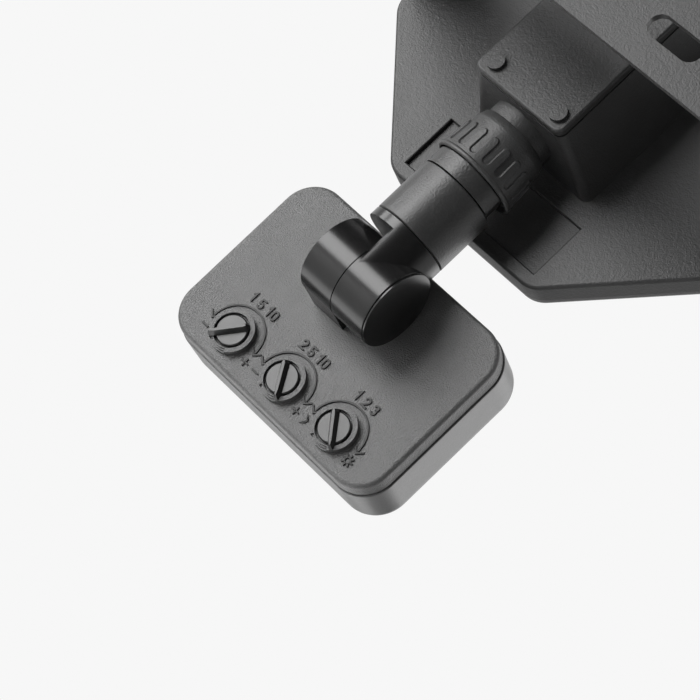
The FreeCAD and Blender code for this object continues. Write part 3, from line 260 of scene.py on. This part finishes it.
def mouldedPlastic(name, look):
    # black moulded plastic: broad tone drift, cell-like grain, a faint haze of handling
    paint = newPaint(name)
    drift = paint.noise(0.012, 3.0, 0.6)
    grain = paint.noise(look["grain"], 2.0, 0.55)
    haze = paint.noise(0.0035, 4.0, 0.65)
    tone = drift * 0.5 + grain * 0.5
    shade = paint.mixed(tone, grey(look["shade"] * 0.4), grey(look["shade"] * 1.6))
    rough = (haze - 0.5) * look["spread"] + (drift - 0.5) * (look["spread"] * 0.6) + look["rough"]
    return paint.finish(Base_Color=shade, Roughness=rough, Normal=paint.bump(grain, look["depth"]),
                        Specular_IOR_Level=look["gloss"])


coatLooks = {
    "powderCoat": {"shade": 0.022, "rough": 0.46, "peel": 0.0011, "peelDepth": 0.000070,
                   "grit": 0.00045, "gritDepth": 0.000070},
    # the bezel has the housing's powder coat; its lighter base is painted light standing for the
    # light the table throws on this strip
    "bezelCoatPaintedLight": {"shade": 0.060, "rough": 0.36, "peel": 0.0011, "peelDepth": 0.000040,
                  "grit": 0.00045, "gritDepth": 0.000040},
}


def powderCoat(name, look):
    # baked powder on cast metal: orange peel under a fine grit
    paint = newPaint(name)
    peel = paint.noise(look["peel"], 2.0, 0.5)
    grit = paint.noise(look["grit"], 1.0, 0.5)
    drift = paint.noise(0.02, 3.0, 0.6)
    shade = paint.mixed(drift, grey(look["shade"] * 0.85), grey(look["shade"] * 1.2))
    low = paint.bump(peel, look["peelDepth"])
    return paint.finish(Base_Color=shade, Roughness=(drift - 0.5) * 0.12 + look["rough"],
                        Normal=paint.bump(grit, look["gritDepth"], low))


def platedSteel(name, shade, rough):
    # turned and zinc plated: fine lay marks and a mottled lustre
    paint = newPaint(name)
    lay = paint.noise(0.0004, 2.0, 0.5, paint.stretched((1.0, 1.0, 6.0)))
    mottle = paint.noise(0.002, 3.0, 0.6)
    tone = paint.mixed(mottle, grey(shade * 0.85), colour(shade, shade * 0.99, shade * 0.96))
    return paint.finish(Base_Color=tone, Metallic=1.0, Roughness=(mottle - 0.5) * 0.15 + rough,
                        Normal=paint.bump(lay, 0.000006))


def plainMould(name, low, high, rough, grain=0.0006, depth=0.00001, **more):
    # a small moulded or coated part: two close tones and a faint skin texture
    paint = newPaint(name)
    drift = paint.noise(0.004, 3.0, 0.6)
    skin = paint.noise(grain, 2.0, 0.5)
    return paint.finish(Base_Color=paint.mixed(drift, colour(*low), colour(*high)),
                        Roughness=(drift - 0.5) * 0.1 + rough,
                        Normal=paint.bump(skin, depth), **more)


lensLook = {"cell": (0.0102, 0.0098), "middle": (0.0013, -0.0938), "pitch": 0.0009,
            "depth": 0.00022}


def fresnelPlastic(look):
    # milky lens sheet: cells of stepped rings, each ring a slope of the distance's fraction
    paint = newPaint("fresnelPlastic")
    spot = paint.place()
    offsets = []
    for axis, size, middle in zip((0, 2), look["cell"], look["middle"]):
        along = paint.node("ShaderNodeSeparateXYZ", values={"Vector": spot}, out=axis)
        part = paint.maths("FRACT", (along - middle) / size + 20.5)
        offsets.append((part - 0.5) * size)
    reach = (offsets[0] * offsets[0] + offsets[1] * offsets[1]) ** 0.5
    slope = paint.maths("FRACT", reach / look["pitch"])
    tone = paint.mixed(paint.noise(0.004, 3.0, 0.6), colour(0.74, 0.75, 0.74),
                       colour(0.82, 0.83, 0.81))
    return paint.finish(Base_Color=tone, Roughness=slope * 0.1 + 0.3,
                        Normal=paint.bump(slope, look["depth"]), Transmission_Weight=0.2,
                        IOR=1.5)


finishes = {name: mouldedPlastic(name, look) for name, look in plasticLooks.items()}
finishes.update({name: powderCoat(name, look) for name, look in coatLooks.items()})
finishes["steel"] = platedSteel("steel", 0.58, 0.32)
finishes["blackScrew"] = platedSteel("blackScrew", 0.10, 0.38)
finishes["canMetal"] = platedSteel("canMetal", 0.7, 0.25)
finishes["rubber"] = plainMould("rubber", (0.018, 0.018, 0.018), (0.03, 0.03, 0.03), 0.75,
                                depth=0.00003)
finishes["frontGlass"] = plainMould("frontGlass", (0.93, 0.96, 0.95), (0.95, 0.97, 0.96), 0.05,
                                    depth=0.0000005, Transmission_Weight=1.0, IOR=1.5)
finishes["whiteSheet"] = plainMould("whiteSheet", (0.80, 0.80, 0.78), (0.86, 0.86, 0.84), 0.4)
finishes["phosphor"] = plainMould("phosphor", (0.80, 0.52, 0.08), (0.86, 0.62, 0.14), 0.45)
finishes["fresnelPlastic"] = fresnelPlastic(lensLook)
finishes["greenBoard"] = plainMould("greenBoard", (0.02, 0.12, 0.05), (0.03, 0.17, 0.08), 0.4)
finishes["whiteBoard"] = plainMould("whiteBoard", (0.74, 0.74, 0.73), (0.80, 0.80, 0.79), 0.35)
finishes["components"] = plainMould("components", (0.03, 0.03, 0.035), (0.06, 0.055, 0.05), 0.5)
finishes["relayCase"] = plainMould("relayCase", (0.03, 0.08, 0.25), (0.05, 0.12, 0.32), 0.35)
finishes["terminals"] = plainMould("terminals", (0.62, 0.61, 0.55), (0.7, 0.69, 0.62), 0.45)
print("finishes made:", len(finishes))

nodeFinish = {
    "powderCoat": ("mounting_bracket", "lamp_housing", "box_lid", "lid_screws"),
    "bezelCoatPaintedLight": ("front_bezel",),
    "grainedPlastic": ("sensor_cover",),
    "shellPlasticPaintedLight": ("sensor_housing",),
    "smoothPlastic": ("elbow", "elbow_cap", "pivot_foot", "gland_nut", "gland_body",
                      "gland_locknut"),
    "sleevePlastic": ("arm_sleeve", "arm_neck"),
    "collarPlastic": ("collar_nut",),
    "dialPlastic": ("time_dial", "range_dial", "dusk_dial", "potentiometers"),
    "steel": ("tilt_bolts", "tilt_washers", "board_screws", "driver_screws", "swivel_clip",
              "knee_washer", "knee_screw", "foot_screws"),
    "blackScrew": ("bezel_screws", "head_screws"),
    "rubber": ("glass_gasket", "lid_gasket", "gland_seal", "neck_seal", "swivel_seal",
               "sensor_gasket", "dial_seals"),
    "frontGlass": ("front_glass",),
    "whiteSheet": ("reflector_sheet",),
    "phosphor": ("led_chips",),
    "whiteBoard": ("led_board",),
    "greenBoard": ("driver_board", "sensor_board"),
    "components": ("driver_components", "daylight_cell"),
    "terminals": ("terminal_block",),
    "canMetal": ("infrared_detector",),
    "relayCase": ("switching_relay",),
    "fresnelPlastic": ("fresnel_lens",),
}
finishOf = {node: finish for finish, group in nodeFinish.items() for node in group}
for node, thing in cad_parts.items():
    for place in range(max(len(thing.material_slots), 1)):
        if not thing.material_slots:
            thing.data.materials.append(None)
        thing.material_slots[place].material = finishes[finishOf[node]]
print("carried nodes finished:", len(finishOf))


# surfaces

def gridQuads(rows, columns, closeRows=False, closeColumns=False):
    # corners of the quads between neighbouring points of a rows by columns grid
    r = np.arange(rows if closeRows else rows - 1)[:, None]
    c = np.arange(columns if closeColumns else columns - 1)[None, :]
    nextR, nextC = (r + 1) % rows, (c + 1) % columns
    quads = [r * columns + c, r * columns + nextC, nextR * columns + nextC, nextR * columns + c]
    return np.stack(np.broadcast_arrays(*quads), axis=-1).reshape(-1, 4)


def makePiece(name, shells, finish, body, replaced=(), crease=40.0):
    # shells are (points in millimetres, quads); joined, sealed and set riding on the body
    counts = np.cumsum([0] + [len(points) for points, quads in shells])
    points = np.concatenate([points for points, quads in shells]) * mm
    quads = np.concatenate([quads + first for (_, quads), first in zip(shells, counts)])
    mesh = bpy.data.meshes.new(name)
    mesh.vertices.add(len(points))
    mesh.vertices.foreach_set("co", points.astype(np.float32).ravel())
    mesh.loops.add(quads.size)
    mesh.loops.foreach_set("vertex_index", quads.astype(np.int32).ravel())
    mesh.polygons.add(len(quads))
    mesh.polygons.foreach_set("loop_start", np.arange(0, quads.size, 4, dtype=np.int32))
    mesh.update(calc_edges=True)
    mesh.validate()
    shape = bmesh.new()
    shape.from_mesh(mesh)
    bmesh.ops.remove_doubles(shape, verts=shape.verts, dist=0.0002 * mm)
    bmesh.ops.recalc_face_normals(shape, faces=shape.faces)
    for face in shape.faces:
        face.smooth = True
    for edge in shape.edges:
        if len(edge.link_faces) == 2 and edge.calc_face_angle(0.0) > math.radians(crease):
            edge.smooth = False
    shape.to_mesh(mesh)
    shape.free()
    mesh.materials.append(finishes[finish])
    piece = bpy.data.objects.new(name, mesh)
    bpy.context.scene.collection.objects.link(piece)
    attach(piece, body)
    if replaced:
        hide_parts(*replaced)
    return piece


def mitres(path, closed):
    # the sideways vector at each point: sum of both runs' normals over 1 + their product
    ahead = np.roll(path, -1, axis=0) - path
    if not closed:
        ahead[-1] = ahead[-2]
    ahead /= np.linalg.norm(ahead, axis=1)[:, None]
    behind = np.roll(ahead, 1, axis=0)
    if not closed:
        behind[0] = ahead[0]
    first = np.stack([-behind[:, 1], behind[:, 0]], axis=1)
    second = np.stack([-ahead[:, 1], ahead[:, 0]], axis=1)
    return (first + second) / (1.0 + np.sum(first * second, axis=1))[:, None], ahead


def ridge(path, half, high, sunk=0.15, closed=False, around=14):
    # a flat bar carried along a flat path: across = half * cos^0.22, up = high * sin^0.22,
    # with a bottom sunk below the face and half-round ends
    path = np.asarray(path, dtype=float)
    side, ahead = mitres(path, closed)
    width = np.ones(len(path))
    if not closed:
        turn = np.radians([8.0, 30.0, 55.0, 78.0])
        lead, slim = np.cos(turn)[:, None] * half, np.sin(turn)
        start, end = path[0] - ahead[0] * lead, path[-1] + ahead[-1] * lead[::-1]
        path = np.concatenate([start, path, end])
        side = np.concatenate([np.repeat(side[:1], 4, 0), side, np.repeat(side[-1:], 4, 0)])
        width = np.concatenate([slim, width, slim[::-1]])
    lap = np.linspace(0.0, math.pi, around)
    across = np.sign(np.cos(lap)) * np.abs(np.cos(lap)) ** 0.22
    up = high * np.sin(lap) ** 0.22
    across = np.concatenate([across, across[::-1][[0, -1]]])
    up = np.concatenate([up, [-sunk, -sunk]])
    flat = path[:, None, :] + side[:, None, :] * (width[:, None] * across * half)[..., None]
    points = np.concatenate([flat, np.broadcast_to(up, flat.shape[:2])[..., None]], axis=2)
    quads = [gridQuads(len(path), around + 2, closed, True)]
    points = points.reshape(-1, 3)
    if not closed:
        # each end is closed by folding its ring in half
        ring = np.arange(around + 2)
        fold = np.stack([ring[:-1], ring[1:], ring[::-1][1:], ring[::-1][:-1]], axis=1)
        fold = fold[:(around + 2) // 2]
        last = (len(path) - 1) * (around + 2)
        quads += [fold, fold[:, ::-1] + last]
    return points, np.concatenate(quads)


collarLook = {
    "place": (0.0, -58.25, -42.9), "flange": 12.45, "mouth": 11.65, "bore": 9.65,
    "wallLow": 11.6, "wallHigh": 10.9, "wallFrom": 1.3, "wallTo": 12.4, "top": 14.9,
    "topRadius": 10.2, "mouthDepth": 1.6, "fingers": 17, "turn": 91.75, "gap": 2.0,
    "rise": 0.5, "gapFrom": 2.4, "fingerTo": 9.5, "slope": 0.14, "around": 44, "rows": 84,
}


def collarShell(look):
    # outer wall = cone + rise where the distance into a finger is over 0; the distance is
    # across - gap / 2 beside a gap, taken from the gap's round foot below and the finger's
    # round tip above
    count = look["fingers"] * look["around"]
    turn = 2 * math.pi * np.arange(count) / count + math.radians(look["turn"])
    pitch = 2 * math.pi * look["wallLow"] / look["fingers"]
    across = (np.arange(count) / look["around"]) % 1.0 * pitch
    across = np.minimum(across, pitch - across)
    high = np.linspace(look["wallFrom"], look["wallTo"], look["rows"])[:, None]
    halfGap, halfFinger = look["gap"] / 2, (pitch - look["gap"]) / 2
    foot, tip = look["gapFrom"] + halfGap, look["fingerTo"] - halfFinger
    inside = np.hypot(across, np.minimum(high - foot, 0.0)) - halfGap
    past = halfFinger - np.hypot(pitch / 2 - across, high - tip)
    inside = np.where(high > tip, past, inside)
    part = np.clip(inside / look["slope"] / 2 + 0.5, 0.0, 1.0)
    fall = (look["wallLow"] - look["wallHigh"]) / (look["wallTo"] - look["wallFrom"])
    wall = look["wallLow"] - fall * (high - look["wallFrom"])
    wall = wall + look["rise"] * part * part * (3.0 - 2.0 * part)
    flange = look["flange"]
    below = [(look["bore"], look["mouthDepth"]), (look["mouth"], look["mouthDepth"]),
             (look["mouth"], 0.0), (flange - 0.5, 0.0), (flange - 0.15, 0.13), (flange, 0.45),
             (flange, 0.95), (flange - 0.08, 1.14), (flange - 0.25, 1.22)]
    above = [(look["topRadius"], look["top"] - 0.3), (look["topRadius"] - 0.25, look["top"]),
             (look["bore"], look["top"])]
    radius = np.concatenate([np.full((1, count), r) for r, _ in below] + [wall]
                            + [np.full((1, count), r) for r, _ in above])
    level = np.concatenate([[h for _, h in below], high[:, 0], [h for _, h in above]])
    points = np.stack(np.broadcast_arrays(radius * np.cos(turn), radius * np.sin(turn),
                                          level[:, None]), axis=-1)
    return points.reshape(-1, 3) + look["place"], gridQuads(len(level), count, True, True)


makePiece("collar_grip", [collarShell(collarLook)], "collarPlastic", "collar",
          replaced=("collar_nut",), crease=50.0)
print("collar made")

# the sensor head's cover: u runs towards -X, v up, and h stands off the face
head = {"centreX": 1.3, "centreZ": -93.83, "faceY": -70.0, "dialV": -18.07, "pitch": 20.0}


def onCover(points, u=0.0, v=0.0):
    return np.stack([head["centreX"] - (points[:, 0] + u), head["faceY"] + points[:, 2],
                     head["centreZ"] + points[:, 1] + v], axis=1)


def moved(shell, placer, *where):
    points, quads = shell
    return placer(points, *where), quads


def arcPath(radius, start, end, count=48, centre=(0.0, 0.0)):
    turn = np.radians(np.linspace(start, end, count))
    return np.stack([centre[0] + radius * np.cos(turn), centre[1] + radius * np.sin(turn)], axis=1)


markLook = {
    "half": 0.27, "high": 0.38, "arc": 8.15, "middle": 0.42, "tipV": -0.70, "headReach": 2.0,
    "headTurn": 47.0, "signU": 8.0, "signV": -3.4, "signSize": 0.95,
}


def dialMarks(look, signs):
    # the arc over a dial, an open head at both its ends, and a sign under each
    r, reach = look["arc"], look["headReach"]
    paths = [(arcPath(r, 1.0, 179.0, centre=(look["middle"], 0.0)), False)]
    spread = math.radians(look["headTurn"])
    for s in (-1.0, 1.0):
        tip = np.array([s * r + look["middle"], look["tipV"]])
        arms = [tip + reach * np.array([math.sin(spread) * t, math.cos(spread)])
                for t in (-1.0, 1.0)]
        paths.append((np.array([arms[0], tip, arms[1]]), False))
    for s, kind in zip((-1.0, 1.0), signs):
        paths += [(path + (s * look["signU"] + look["middle"], look["signV"]), closed)
                  for path, closed in signPaths[kind](look["signSize"])]
    return [ridge(path, look["half"] * (0.8 if closed else 1.0), look["high"], closed=closed)
            for path, closed in paths]


def minusPaths(size):
    return [(np.array([(-size, 0.0), (size, 0.0)]), False)]


def plusPaths(size):
    return minusPaths(size) + [(np.array([(0.0, -size), (0.0, -0.3)]), False),
                               (np.array([(0.0, 0.3), (0.0, size)]), False)]


def moonPaths(size):
    # a crescent: an outer arc and a flatter inner one meeting at the horns
    outer = arcPath(size, -62.0, 62.0, 20)
    half = outer[-1, 1]
    inner = arcPath(half / math.sin(math.radians(38)), 38.0, -38.0, 20)
    inner[:, 0] += outer[0, 0] - inner[-1, 0]
    return [(np.concatenate([outer, inner[1:-1]]) - (size * 0.7, 0.0), True)]


def sunPaths(size):
    rays = [(np.array([[1.15, 0.0], [1.6, 0.0]]) * size, turn) for turn in range(0, 360, 45)]
    spun = []
    for ray, turn in rays:
        c, s = math.cos(math.radians(turn)), math.sin(math.radians(turn))
        spun.append((ray @ np.array([[c, s], [-s, c]]), False))
    return [(arcPath(0.85 * size, 0.0, 345.0, 24), True)] + spun


signPaths = {"minus": minusPaths, "plus": plusPaths, "moon": moonPaths, "sun": sunPaths}

# strokes of the plain figures in a box one high
figures = {
    "0": [(np.concatenate([arcPath(0.27, 0, 180, 14, (0, 0.23)),
                           arcPath(0.27, 180, 360, 14, (0, -0.23))]), True)],
    "1": [(np.array([(-0.2, 0.28), (0.06, 0.5), (0.06, -0.5)]), False)],
    "2": [(np.concatenate([arcPath(0.27, 165, -35, 16, (0, 0.23)),
                           [(-0.28, -0.5), (0.3, -0.5)]]), False)],
    "3": [(arcPath(0.25, 150, -70, 16, (0, 0.25)), False),
          (arcPath(0.27, 75, -150, 16, (0, -0.23)), False)],
    "5": [(np.concatenate([[(0.26, 0.5), (-0.22, 0.5), (-0.25, 0.06)],
                           arcPath(0.29, 130, -145, 18, (-0.02, -0.21))]), False)],
}
figureLook = {"tall": 2.5, "step": 2.0, "gap": 1.1, "half": 0.27, "high": 0.38,
              "u": 0.6, "v": 10.4}


def dialFigures(look, words):
    # plain numbers in a row above the arc
    letters = " ".join(words)
    steps = np.array([look["gap"] if letter == " " else look["step"] for letter in letters])
    middles = np.cumsum(steps) - steps / 2 - steps.sum() / 2
    shells = []
    for letter, middle in zip(letters, middles):
        for path, closed in figures.get(letter, ()):
            placed = path * look["tall"] + (middle + look["u"], look["v"])
            shells.append(ridge(placed, look["half"], look["high"], closed=closed))
    return shells


dialRows = (("time", -1, ("minus", "plus"), ("1", "5", "10")),
            ("range", 0, ("minus", "plus"), ("2", "5", "10")),
            ("dusk", 1, ("moon", "sun"), ("1", "2", "3")))
for name, order, signs, words in dialRows:
    spot = (order * head["pitch"], head["dialV"])
    marks = [moved(shell, onCover, *spot) for shell in dialMarks(markLook, signs)]
    makePiece(name + "_marks", marks, "markPlasticPaintedShade", "sensor")
    numbers = [moved(shell, onCover, *spot) for shell in dialFigures(figureLook, words)]
    makePiece(name + "_numbers", numbers, "markPlasticPaintedShade", "sensor")
print("marks and numbers raised")
